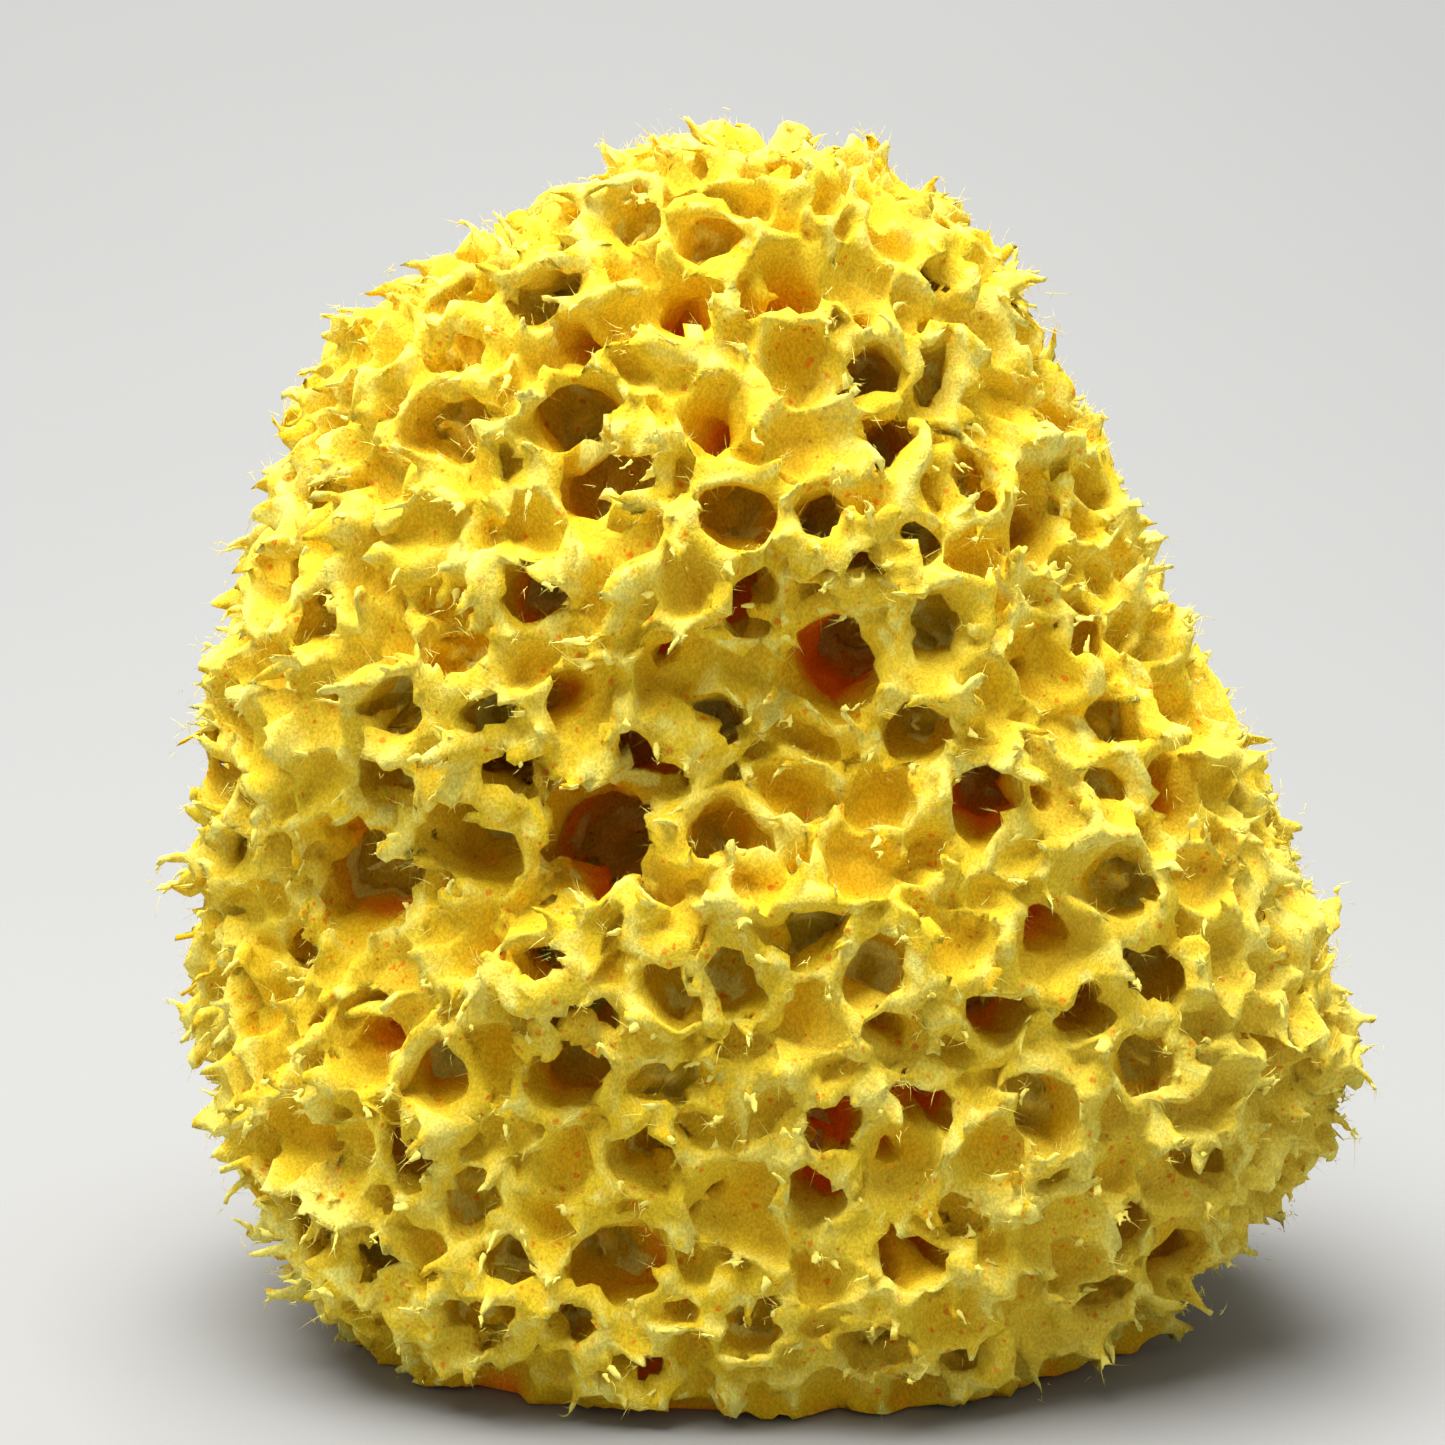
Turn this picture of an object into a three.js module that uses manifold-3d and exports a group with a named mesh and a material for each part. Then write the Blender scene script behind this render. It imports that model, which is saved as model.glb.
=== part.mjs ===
// A natural honeycomb bath sponge, in millimetres.
//
// It grew as one piece and was trimmed flat underneath, so it is one solid: a lumpy, nearly
// upright boulder whose skin is riddled with round openings. A broad crease crosses its front,
// and the widest and deepest openings lie along that crease.
//
// +Z is up, -Y is the front and +X is to the right of it. The origin is on the trimmed face,
// under the middle of the bounding box.
import * as THREE from "three";
import { ImprovedNoise } from "three/addons/math/ImprovedNoise.js";
import { mergeVertices } from "three/addons/utils/BufferGeometryUtils.js";
import Module from "manifold-3d";

const { clamp, lerp, seededRandom, smoothstep } = THREE.MathUtils;

// Driving dimensions: the box that the solid fills.
const WIDTH = 147;
const DEPTH = 114;
const HEIGHT = 157;

// Outline of the whole body: its reach to each side, every 15 degrees of climb from the
// underside to the crown. What lies below zero is trimmed away.
//   up, left, right, front, back
const OUTLINE = [
  [-14, -4, -4, 0, 0],
  [-13, -33, 26, -27, 25],
  [-8, -52, 44, -43, 39],
  [5, -62, 54, -52, 48],
  [22, -69, 63, -56, 54],
  [42, -73, 73, -58, 57],
  [66, -74, 66, -57, 57],
  [91, -71, 55, -53, 54],
  [113, -65, 44, -48, 49],
  [131, -55, 38, -41, 42],
  [145, -41, 31, -31, 33],
  [154, -21, 16, -16, 18],
  [156, -5, -5, 0, 0],
];
const PLAN_SQUARENESS = 2.5; // 2 is an ellipse seen from above, more is squarer
const SKIN_DETAIL = 9; // subdivisions of each icosahedron edge

// Lumps of the skin: the size of each kind and how far it stands in or out.
const LUMPS = [
  { size: 34, height: 4.5 },
  { size: 15, height: 3.2 },
  { size: 7, height: 2.4 },
];

// Creases in the front: a line of [across, up] points, how deep the crease is and how wide.
const CREASES = [
  { line: [[-58, 60], [-46, 66], [-22, 75], [-4, 82], [7, 91]], depth: 9, reach: 8 },
  { line: [[-4, 78], [24, 74]], depth: 4, reach: 6 },
  { line: [[20, 51], [40, 51]], depth: 3.5, reach: 6 },
  { line: [[13, 128], [16, 117]], depth: 3, reach: 5 },
];

// The wider openings of the front face: [across, up, radius, depth].
const FRONT_OPENINGS = [
  // crown
  [-36, 141, 3, 6], [-28, 138, 3.5, 9], [-17, 146, 2.5, 5], [-7.5, 143, 2.5, 7],
  [25, 138, 2.5, 7], [-40, 131, 3.5, 9],
  // upper left
  [-39, 120, 4.4, 10], [-23.5, 121.5, 4, 14], [-20, 114, 4, 15], [-3, 110.5, 3.2, 14],
  [-28, 101, 2.5, 15], [-57, 112, 3, 7], [-36.5, 94.5, 2.5, 9], [-44.5, 86.5, 2.8, 10],
  [-32, 87, 2.3, 10], [-55, 97, 2.6, 7],
  // upper right
  [13.5, 126, 3, 12], [15.5, 118.5, 2.8, 18], [25, 126, 3.2, 8], [28.5, 113.5, 2.3, 10],
  [7, 110, 3, 17], [13, 104.5, 2.5, 13], [20.5, 107.5, 2.4, 12], [21, 96, 3, 10],
  [40, 95, 2.8, 10], [16, 84.5, 3.1, 11], [42.5, 85, 3, 7],
  // along the crease
  [-0.5, 99, 2.8, 22], [7, 91, 4, 26], [-6, 84.5, 2.5, 13], [-12.5, 80, 3.8, 26],
  [-20, 73.5, 6, 32], [-28, 79, 3.2, 24], [-4.5, 73.5, 3, 13], [-34, 71, 4.5, 14],
  [-47, 65, 6, 16], [-44.5, 77, 3.5, 11], [25, 76, 2.8, 20],
  // middle
  [-55.5, 55.5, 2.4, 11], [-65, 51, 2.4, 8], [-67, 74.5, 2.6, 7], [-66, 66, 2.4, 7],
  [4, 61.5, 3.8, 9], [-3, 56, 2.5, 10], [-10, 55.5, 2.3, 9], [12.5, 57.5, 2.6, 10],
  [-25, 58.5, 2.3, 13], [42, 78, 2.6, 8], [43.5, 65.5, 3.6, 8], [27.5, 51, 2.8, 17],
  [37, 50.5, 2.4, 15], [46, 54, 3.3, 11],
  // lower left
  [-19.5, 50.5, 2.4, 12], [-21.5, 44.5, 3.2, 15], [-36, 43.5, 2.4, 13], [-40, 32.5, 2.8, 13],
  [-33, 28.5, 3.2, 7], [-13.5, 33.5, 3, 13], [-47, 20, 3, 13], [-29, 21, 2.4, 9],
  [-16.5, 20.5, 4, 13], [-22, 13.5, 2.4, 11], [-1.5, 14, 2.9, 8], [-15.5, 7, 2.4, 15],
  [-56, 20, 5, 9], [-35, 13, 4, 11], [-11, 43.5, 3.2, 6],
  // lower right
  [8, 38, 2.5, 19], [17.5, 40.5, 2.3, 19], [5.5, 31, 2.4, 19], [32, 39.5, 3, 7],
  [44.5, 45, 3.2, 9], [52.5, 29, 3, 11], [16.5, 22.5, 2.7, 13], [42, 23, 2.3, 15],
  [41, 13, 2.4, 9], [13, 9.5, 3.2, 7], [24, 8, 2.8, 7],
];

// Openings of the other sides are spread evenly, in the proportions seen on the front.
const OTHER_OPENINGS = 116; // over the whole body, before those in front are left out
const OTHER_RADIUS = [2.3, 5];
const OTHER_DEPTH_PER_RADIUS = [2.4, 5];
const FRONT_LIMIT = -0.4; // a direction further forward than this is the front's
const PLAIN_FOOT = 22; // no opening this near the middle of the foot
const GOLDEN_ANGLE = Math.PI * (3 - Math.sqrt(5));

const MOUTH_FLARE = 1.3; // an opening is this much wider at the skin than in its depth
const OVERSHOOT = 5; // how far an opening's cutter stands out of the skin
const AXIS_MIX = 0.45; // 0 bores straight back, 1 bores square to the skin

const wasm = await Module();
wasm.setup();
const noise = new ImprovedNoise();

// A closed solid from a geometry, whose shared corners are merged first.
function solidFrom(geometry) {
  const bare = geometry.clone();
  bare.deleteAttribute("normal");
  bare.deleteAttribute("uv");
  const merged = mergeVertices(bare, 1e-4);
  return new wasm.Manifold(
    new wasm.Mesh({
      numProp: 3,
      vertProperties: new Float32Array(merged.attributes.position.array),
      triVerts: new Uint32Array(merged.index.array),
    }),
  );
}

// The geometry of a finished solid.
function geometryFrom(solid) {
  const mesh = solid.getMesh();
  const geometry = new THREE.BufferGeometry();
  geometry.setAttribute("position", new THREE.BufferAttribute(mesh.vertProperties, 3));
  geometry.setIndex(new THREE.BufferAttribute(mesh.triVerts, 1));
  geometry.computeVertexNormals();
  return geometry;
}

const sideCurve = new THREE.CatmullRomCurve3(
  OUTLINE.map(([up, left, right]) => new THREE.Vector3(left, right, up)),
);
const faceCurve = new THREE.CatmullRomCurve3(
  OUTLINE.map(([up, , , front, back]) => new THREE.Vector3(front, back, up)),
);
for (const curve of [sideCurve, faceCurve]) curve.curveType = "catmullrom";

// The smooth body's point in a direction from its middle.
function outlinePoint(direction) {
  const climb = Math.acos(clamp(-direction.z, -1, 1)) / Math.PI;
  const { x: left, y: right, z: up } = sideCurve.getPoint(climb);
  const { x: front, y: back } = faceCurve.getPoint(climb);
  const level = Math.hypot(direction.x, direction.y) || 1;
  const across = direction.x / level;
  const along = direction.y / level;
  const power = PLAN_SQUARENESS;
  const reach = (Math.abs(across) ** power + Math.abs(along) ** power || 1) ** (-1 / power);
  return new THREE.Vector3(
    (left + right) / 2 + (across * reach * (right - left)) / 2,
    (front + back) / 2 + (along * reach * (back - front)) / 2,
    up,
  );
}

// How far the lumps push the skin out at a point.
function lumpAt({ x, y, z }) {
  return LUMPS.reduce(
    (sum, { size, height }, layer) =>
      sum + height * noise.noise(x / size + 9 * layer, y / size, z / size),
    0,
  );
}

// Distance in the front view from a point to a line of [across, up] points.
function distanceToLine(point, line) {
  const here = new THREE.Vector3(point.x, 0, point.z);
  const nearest = new THREE.Vector3();
  let least = Infinity;
  for (let i = 1; i < line.length; i += 1) {
    const [from, to] = [line[i - 1], line[i]].map(([x, z]) => new THREE.Vector3(x, 0, z));
    new THREE.Line3(from, to).closestPointToPoint(here, true, nearest);
    least = Math.min(least, here.distanceTo(nearest));
  }
  return least;
}

// How far the creases push the front of the skin in at a point.
function creaseAt(point) {
  const facing = smoothstep(-point.y, 5, 30);
  return CREASES.reduce(
    (sum, { line, depth, reach }) =>
      sum + facing * depth * Math.exp(-((distanceToLine(point, line) / reach) ** 2)),
    0,
  );
}

// The skin before anything is bored in it: a closed mesh that fills the driving box.
function makeSkin() {
  const geometry = new THREE.IcosahedronGeometry(1, SKIN_DETAIL);
  const position = geometry.attributes.position;
  const direction = new THREE.Vector3();
  for (let i = 0; i < position.count; i += 1) {
    direction.fromBufferAttribute(position, i).normalize();
    const point = outlinePoint(direction);
    point.addScaledVector(direction, lumpAt(point));
    point.y += creaseAt(point);
    position.setXYZ(i, point.x, point.y, point.z);
  }
  geometry.computeBoundingBox();
  const { min, max } = geometry.boundingBox;
  geometry.translate(-(min.x + max.x) / 2, -(min.y + max.y) / 2, 0);
  return geometry.scale(WIDTH / (max.x - min.x), DEPTH / (max.y - min.y), HEIGHT / max.z);
}

// The cutter of one opening: a tapering round plug from outside the skin down to its floor.
function openingCutter({ mouth, inward, radius, depth, bend }) {
  const length = depth + OVERSHOOT;
  const sides = radius < 3.2 ? 6 : 8;
  const steps = radius < 5 ? 1 : 2;
  const plug = new THREE.CylinderGeometry(radius * MOUTH_FLARE, radius * 0.8, length, sides, steps);
  plug.rotateY(bend * Math.PI);
  plug.translate(0, OVERSHOOT - length / 2, 0);
  const outward = inward.clone().negate();
  const turn = new THREE.Quaternion().setFromUnitVectors(new THREE.Vector3(0, 1, 0), outward);
  const place = new THREE.Matrix4().compose(mouth, turn, new THREE.Vector3(1, 1, 1));
  return solidFrom(plug.applyMatrix4(place));
}

// Where a ray meets the body, and the way an opening runs in from there.
function openingOnRay(target, origin, towards) {
  const [hit] = new THREE.Raycaster(origin, towards).intersectObject(target);
  const inward = towards.clone().lerp(hit.face.normal.clone().negate(), AXIS_MIX).normalize();
  return { mouth: hit.point, inward };
}

function frontOpenings(target) {
  return FRONT_OPENINGS.map(([across, up, radius, depth], i) => {
    const origin = new THREE.Vector3(across, -2 * DEPTH, up);
    const place = openingOnRay(target, origin, new THREE.Vector3(0, 1, 0));
    return { ...place, radius, depth, bend: i / FRONT_OPENINGS.length };
  });
}

function otherOpenings(target) {
  const middle = new THREE.Vector3(0, 0, HEIGHT / 2);
  return Array.from({ length: OTHER_OPENINGS }, (_, i) => {
    const height = 1 - (2 * (i + 0.5)) / OTHER_OPENINGS;
    const level = Math.sqrt(1 - height * height);
    const angle = i * GOLDEN_ANGLE;
    const outward = new THREE.Vector3(level * Math.cos(angle), level * Math.sin(angle), height);
    if (outward.y < FRONT_LIMIT) return null;
    const origin = middle.clone().addScaledVector(outward, 2 * HEIGHT);
    const place = openingOnRay(target, origin, outward.clone().negate());
    const radius = lerp(...OTHER_RADIUS, seededRandom(2 * i + 1) ** 2);
    const depth = radius * lerp(...OTHER_DEPTH_PER_RADIUS, seededRandom(2 * i + 2));
    if (place.mouth.length() < PLAIN_FOOT) return null;
    return { ...place, radius, depth, bend: i / OTHER_OPENINGS };
  });
}

// The trimming box: everything above the foot.
function aboveFoot() {
  const size = 4 * HEIGHT;
  return solidFrom(new THREE.BoxGeometry(size, size, size).translate(0, 0, size / 2));
}

// The sponge: the trimmed body less its openings, as one solid over the middle of its foot.
function makeSponge() {
  const body = solidFrom(makeSkin()).intersect(aboveFoot());
  const target = new THREE.Mesh(geometryFrom(body));
  const openings = [...frontOpenings(target), ...otherOpenings(target)].filter(Boolean);
  const bored = body.subtract(wasm.Manifold.union(openings.map(openingCutter)));
  const [whole] = bored.decompose().sort((a, b) => b.volume() - a.volume());
  const geometry = geometryFrom(whole);
  geometry.computeBoundingBox();
  const middle = geometry.boundingBox.getCenter(new THREE.Vector3());
  return geometry.translate(-middle.x, -middle.y, 0);
}

const spongeYellow = new THREE.MeshStandardMaterial({
  color: 0xe6cf4a,
  roughness: 0.95,
  metalness: 0,
});

const sponge = new THREE.Mesh(makeSponge(), spongeYellow);
sponge.name = "sponge";

const part = new THREE.Group();
part.add(sponge);

export default part;
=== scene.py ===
"""Natural honeycomb bath sponge: its looks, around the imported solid.

The body is carved out of a copy of the solid: it is rounded, its skin is raised into ridges and
conules, the finer openings are sunk between them, and torn flaps grow out of the crests. A fringe
of teeth frays the flaps' edges, threads trail off the teeth and down covers the outer skin.
Everything rides on the one body of the frame.
"""
import math
import random

import bmesh
import bpy
import numpy as np
from bpy.props import (
    FloatProperty,
    FloatVectorProperty,
    IntProperty,
    PointerProperty,
)
from bpy.types import Operator, Panel, PropertyGroup
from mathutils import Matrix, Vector, noise
from mathutils.bvhtree import BVHTree
from mathutils.kdtree import KDTree


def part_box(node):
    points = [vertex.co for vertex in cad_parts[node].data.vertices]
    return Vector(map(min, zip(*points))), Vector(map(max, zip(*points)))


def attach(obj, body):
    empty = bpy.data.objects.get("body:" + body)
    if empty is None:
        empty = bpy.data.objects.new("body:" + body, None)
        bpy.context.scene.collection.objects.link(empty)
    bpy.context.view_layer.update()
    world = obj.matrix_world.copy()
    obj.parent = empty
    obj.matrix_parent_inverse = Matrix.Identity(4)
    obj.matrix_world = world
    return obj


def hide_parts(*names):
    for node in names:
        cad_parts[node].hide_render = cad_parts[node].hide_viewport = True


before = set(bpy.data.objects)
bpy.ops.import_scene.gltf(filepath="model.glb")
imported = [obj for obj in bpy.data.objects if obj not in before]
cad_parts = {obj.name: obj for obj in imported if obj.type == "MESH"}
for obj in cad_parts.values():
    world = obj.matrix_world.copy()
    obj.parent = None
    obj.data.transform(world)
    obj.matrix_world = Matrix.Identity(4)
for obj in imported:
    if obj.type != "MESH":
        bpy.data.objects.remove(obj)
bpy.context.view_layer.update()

bl_info = {
    "name": "Honeycomb Sponge",
    "version": (1, 0, 0),
    "blender": (4, 5, 0),
    "location": "View3D > Sidebar > Sponge",
    "description": "Carves a natural honeycomb bath sponge out of its plain solid",
    "category": "Object",
}

MM = 0.001
SOLID = "sponge"  # the node that the body replaces
BODY = "root"
LOW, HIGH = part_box(SOLID)
SIZE = HIGH - LOW
MIDDLE = (LOW + HIGH) / 2

FLOOR_GAP = 0.3 * MM  # nothing but the trimmed foot comes closer to the floor
FOOT_CLEAR = 1.0 * MM  # skin lower than this belongs to the trimmed foot
OPEN_AIR = 13 * MM  # a ray that goes this far clear has left the sponge
RAY_LIFT = 0.25 * MM  # a ray starts this far off the skin

# Finer openings, widest first: the radius in mm, and how many places are tried for it.
OPENING_TRIES = ((4.2, 800), (3.3, 2200), (2.5, 4500), (1.8, 7000), (1.3, 9000), (0.9, 9000))
FLANK_FACING = 0.72  # skin that faces right by more than this is the close-grained flank
FLANK_RADIUS = 0.62  # its openings are this much of the usual size
FLANK_WALL = 1.5  # and its walls this much of the usual width

PEAK_START, PEAK_FULL = 1.5 * MM, 4.2 * MM  # a conule stands this far from the nearest rim
UNEVEN_SIZE, TORN_SIZE = 8 * MM, 2.4 * MM  # lumps that vary the crests' height and tear them
LEAN_SIZE, FINE_LEAN_SIZE = 11 * MM, 4 * MM  # swirls along which the crests lean over
PULL_SIZE, FINE_PULL_SIZE = 9 * MM, 3 * MM  # swirls that pull the whole skin about
ROUGH_SIZE = 1.3 * MM  # the finest lumps of the skin
DEPTH_PER_RADIUS = (2.0, 4.4)  # least and most depth of a finer opening
CREST_FADE = 1.2 * MM  # a crest's colour fades this far below it

DRIFT_SEEDS = (0, 17.3, 41.9)  # shifts that make three unlike noises out of one
ROOT_DEPTH = 0.9 * MM  # how deep a frond is rooted in its crest
LEFT_PULL = (-0.35, 0, 0)  # the crests of the left half lean out this way
FROND_PULL = (-0.55, 0, -0.3)  # fronds hang this way, most on the left
FROND_DRIFT_SIZE = 12 * MM  # neighbouring fronds within this reach lie alike
LEAST_CREST = 0.4  # no frond stands on skin that is less of a crest than this
THREAD_WIDTHS = (0.03, 0.085)  # half the width of the finest and the widest thread in mm

CAMERA_AT = (-0.0055, -0.455, 0.148)
CAMERA_AIM = (-0.0055, 0, 0.0785)
KEY_AT, KEY_AIM, KEY_SIZE = (-0.20, -0.10, 1.35), (0, 0, 0.06), 1.2
WASH_AT, WASH_AIM, WASH_SIZE = (0, 0.35, 1.1), (0, 1.1, 0.3), 0.6

# ---------------------------------------------------------------- small tools


def new_object(name, mesh):
    """A linked object at the origin that holds mesh."""
    piece = bpy.data.objects.new(name, mesh)
    bpy.context.scene.collection.objects.link(piece)
    return piece


def positions(mesh):
    """The vertices of a mesh as an array of points."""
    points = np.empty(len(mesh.vertices) * 3)
    mesh.vertices.foreach_get("co", points)
    return points.reshape(-1, 3)


def normals(mesh):
    """The vertex normals of a mesh as an array of directions."""
    directions = np.empty(len(mesh.vertices) * 3)
    mesh.vertex_normals.foreach_get("vector", directions)
    return directions.reshape(-1, 3)


def set_positions(mesh, points):
    """Moves the vertices of a mesh to the given points."""
    mesh.vertices.foreach_set("co", points.astype(np.float32).ravel())
    mesh.update()


def set_attribute(mesh, name, values):
    """Stores one number per vertex for the materials to read."""
    layer = mesh.attributes.get(name) or mesh.attributes.new(name, "FLOAT", "POINT")
    layer.data.foreach_set("value", np.asarray(values, np.float32))


def unit(vectors):
    """Each row of vectors at length 1."""
    return vectors / np.maximum(np.linalg.norm(vectors, axis=-1, keepdims=True), 1e-9)


def apply_modifiers(piece):
    """Replaces the piece's mesh with what its modifiers make of it."""
    graph = bpy.context.evaluated_depsgraph_get()
    old = piece.data
    piece.data = bpy.data.meshes.new_from_object(piece.evaluated_get(graph))
    piece.modifiers.clear()
    bpy.data.meshes.remove(old)
    piece.data.name = piece.name


def voxel_remesh(piece, voxel):
    """Makes one even, closed skin of the piece."""
    remesh = piece.modifiers.new("even_skin", "REMESH")
    remesh.mode = "VOXEL"
    remesh.voxel_size = voxel
    remesh.use_smooth_shade = True
    apply_modifiers(piece)


def soften(piece, factor, rounds):
    """Rounds the piece's edges by averaging neighbours."""
    rounding = piece.modifiers.new("rounding", "SMOOTH")
    rounding.factor = factor
    rounding.iterations = rounds
    apply_modifiers(piece)


def ramp(values, low, high):
    """0 below low, 1 above high and a smooth step between."""
    t = np.clip((values - low) / (high - low), 0, 1)
    return t * t * (3 - 2 * t)


def noise_at(points, size, octaves=3, seed=0.0):
    """Fractal noise, about -1 to 1, whose lumps are about size across."""
    shift = Vector((seed, 1.7 * seed, 2.3 * seed))
    return np.array(
        [noise.fractal(Vector(p) / size + shift, 0.8, 2.0, octaves) for p in points.tolist()]
    )


def drift_at(points, size, seed=0.0):
    """A smooth field of vectors, each about -1 to 1, whose swirls are about size across."""
    parts = [noise_at(points, size, 1, seed + shift) for shift in DRIFT_SEEDS]
    return np.stack(parts, 1)


def clear_air(piece, points, directions, reach):
    """For each point, how far a ray in its direction stays clear of the piece, up to reach."""
    tree = BVHTree.FromObject(piece, bpy.context.evaluated_depsgraph_get())
    clear = np.full(len(points), reach)
    for i, (point, direction) in enumerate(zip(points.tolist(), directions.tolist())):
        ray = Vector(direction)
        distance = tree.ray_cast(Vector(point) + ray * RAY_LIFT, ray, reach)[3]
        if distance is not None:
            clear[i] = distance
    return clear


def point_tree(targets):
    """A balanced tree of points."""
    tree = KDTree(len(targets))
    for i, target in enumerate(targets):
        tree.insert(target, i)
    tree.balance()
    return tree


def nearest(points, targets):
    """The distance from each point to the nearest target, and which target that is."""
    tree = point_tree(targets.tolist())
    found = [tree.find(p) for p in points.tolist()]
    return np.array([f[2] for f in found]), np.array([f[1] for f in found])


def spaced(points, order, gap):
    """Takes points in the given order, but none nearer than gap to one already taken."""
    grid, taken = {}, []
    steps = [(x, y, z) for x in (-1, 0, 1) for y in (-1, 0, 1) for z in (-1, 0, 1)]
    for i in order:
        p = points[i]
        cell = tuple((p // gap).astype(int))
        rivals = (grid.get((cell[0] + x, cell[1] + y, cell[2] + z)) for x, y, z in steps)
        if any(q is not None and ((p - points[q]) ** 2).sum() < gap * gap for q in rivals):
            continue
        grid[cell] = i
        taken.append(i)
    return np.array(taken)


def raise_face(shape, face, step, scale):
    """Extrudes one face upwards, scales it about the axis and gives it back."""
    made = bmesh.ops.extrude_face_region(shape, geom=[face])["geom"]
    bmesh.ops.delete(shape, geom=[face], context="FACES_ONLY")
    corners = [item for item in made if isinstance(item, bmesh.types.BMVert)]
    bmesh.ops.translate(shape, verts=corners, vec=(0, 0, step))
    bmesh.ops.scale(shape, verts=corners, vec=(scale, scale, 1))
    return next(item for item in made if isinstance(item, bmesh.types.BMFace))


def taper(sides, widths):
    """A closed upright taper, 1 tall, with one ring of corners for each width.

    A last width of 0 is a point. The result is its points and its triangles.
    """
    shape = bmesh.new()
    bmesh.ops.create_circle(shape, segments=sides, radius=widths[0], cap_ends=True)
    shape.faces.ensure_lookup_table()
    bottom = shape.faces[0]
    top = bottom.copy()
    bottom.normal_flip()
    face = top
    for before, width in zip(widths, widths[1:]):
        face = raise_face(shape, face, 1 / (len(widths) - 1), max(width, 1e-3) / before)
    if not widths[-1]:
        bmesh.ops.pointmerge(shape, verts=face.verts[:], merge_co=(0, 0, 1))
    bmesh.ops.recalc_face_normals(shape, faces=shape.faces[:])
    bmesh.ops.triangulate(shape, faces=shape.faces[:])
    shape.verts.index_update()
    points = np.array([v.co[:] for v in shape.verts])
    faces = np.array([[v.index for v in f.verts] for f in shape.faces])
    shape.free()
    return points, faces


def repeat_shape(name, template, roots, axes, sizes, bends):
    """One mesh of a template repeated at every root.

    axes holds each copy's side, thickness and length directions, sizes how far it reaches along
    them, and bends how far its end is carried off the straight line.
    """
    points, faces = template
    placed = np.repeat(roots[:, None, :], len(points), 1)
    for k in range(3):
        placed += (points[None, :, k] * sizes[:, k, None])[..., None] * axes[:, k, None, :]
    placed += (points[None, :, 2] ** 2)[..., None] * bends[:, None, :]
    placed[..., 2] = np.maximum(placed[..., 2], LOW.z + FLOOR_GAP)
    first = (np.arange(len(roots)) * len(points))[:, None, None]
    mesh = bpy.data.meshes.new(name)
    mesh.from_pydata(placed.reshape(-1, 3).tolist(), [], (faces[None] + first).reshape(-1, 3).tolist())
    mesh.shade_smooth()
    return new_object(name, mesh)


def axes_for(outward, along):
    """Side, thickness and length directions of copies that point outward and lie along a line."""
    side = unit(along - outward * (along * outward).sum(1, keepdims=True))
    return np.stack((side, np.cross(outward, side), outward), 1)


# ---------------------------------------------------------------- the body


def solid_copy(name):
    """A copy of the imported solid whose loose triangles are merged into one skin."""
    piece = new_object(name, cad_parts[SOLID].data.copy())
    shape = bmesh.new()
    shape.from_mesh(piece.data)
    bmesh.ops.remove_doubles(shape, verts=shape.verts, dist=0.001 * MM)
    shape.to_mesh(piece.data)
    shape.free()
    piece.data.materials.clear()
    return piece


def plan_openings(points, directions, outside, voids, look):
    """Chooses where the finer openings go: their mouths, outward directions and radii.

    They fill what the wider openings leave, widest first, each with a wall round it, and are
    smaller and fewer on the close-grained right flank.
    """
    rng = random.Random(look.seed)
    void_tree = point_tree(points[voids].tolist())
    mouths, outwards, radii = np.empty((0, 3)), np.empty((0, 3)), np.empty(0)
    for width, tries in OPENING_TRIES:
        for _ in range(tries):
            i = rng.choice(outside)
            flank = directions[i][0] > FLANK_FACING
            radius = width * MM * rng.uniform(0.85, 1.15) * (FLANK_RADIUS if flank else 1.0)
            wall = look.wall * rng.uniform(0.3, 1.5) * (FLANK_WALL if flank else 1.0)
            if points[i][2] < LOW.z + 0.2 * radius:
                continue
            if void_tree.find(points[i])[2] < radius + wall:
                continue
            if len(radii) and (np.linalg.norm(mouths - points[i], axis=1) - radii).min() < radius + wall:
                continue
            mouths = np.vstack((mouths, points[i]))
            outwards = np.vstack((outwards, directions[i]))
            radii = np.append(radii, radius)
    return mouths, outwards, radii


def rim_field(points, voids, mouths, radii):
    """How far each point is from the nearest rim, and the direction from that opening to it."""
    rim, index = nearest(points, points[voids])
    away = points - points[voids][index]
    tree = point_tree(mouths.tolist())
    for i, point in enumerate(points.tolist()):
        for _, k, distance in tree.find_n(point, 4):
            if distance - radii[k] < rim[i]:
                rim[i] = distance - radii[k]
                away[i] = points[i] - mouths[k]
    return rim, unit(away)


def raise_relief(points, directions, rim, voids, look):
    """Sinks the skin round every opening and raises it into torn ridges and conules between."""
    crest = ramp(rim, -0.2 * MM, look.crest_reach)
    peak = ramp(rim, PEAK_START, PEAK_FULL)
    uneven = 0.5 + 0.5 * noise_at(points, UNEVEN_SIZE, 2, 4.0)
    torn = 1 - 2 * np.abs(noise_at(points, TORN_SIZE, 3, 9.0))
    height = look.ridge_height * (crest * (0.7 + 0.6 * uneven) - 1)
    height += look.peak_height * peak * (0.3 + uneven)
    height += look.tear * torn * crest - look.settle
    height[voids] = np.minimum(height[voids], 0) * 0.3
    fade = ramp(points[:, 2], LOW.z + 0.1 * MM, LOW.z + 0.9 * MM)
    lean = drift_at(points, LEAN_SIZE, 3.0) + 0.9 * drift_at(points, FINE_LEAN_SIZE, 6.0)
    lean += np.array(LEFT_PULL) * (points[:, :1] < MIDDLE.x)
    lean *= (look.lean * crest * (0.4 + peak) * fade)[:, None]
    lean[voids] = 0
    raised = points + directions * (height * fade)[:, None] + lean
    raised[:, 2] = np.maximum(raised[:, 2], LOW.z)
    return raised, crest * (0.55 + 0.45 * peak)


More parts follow.
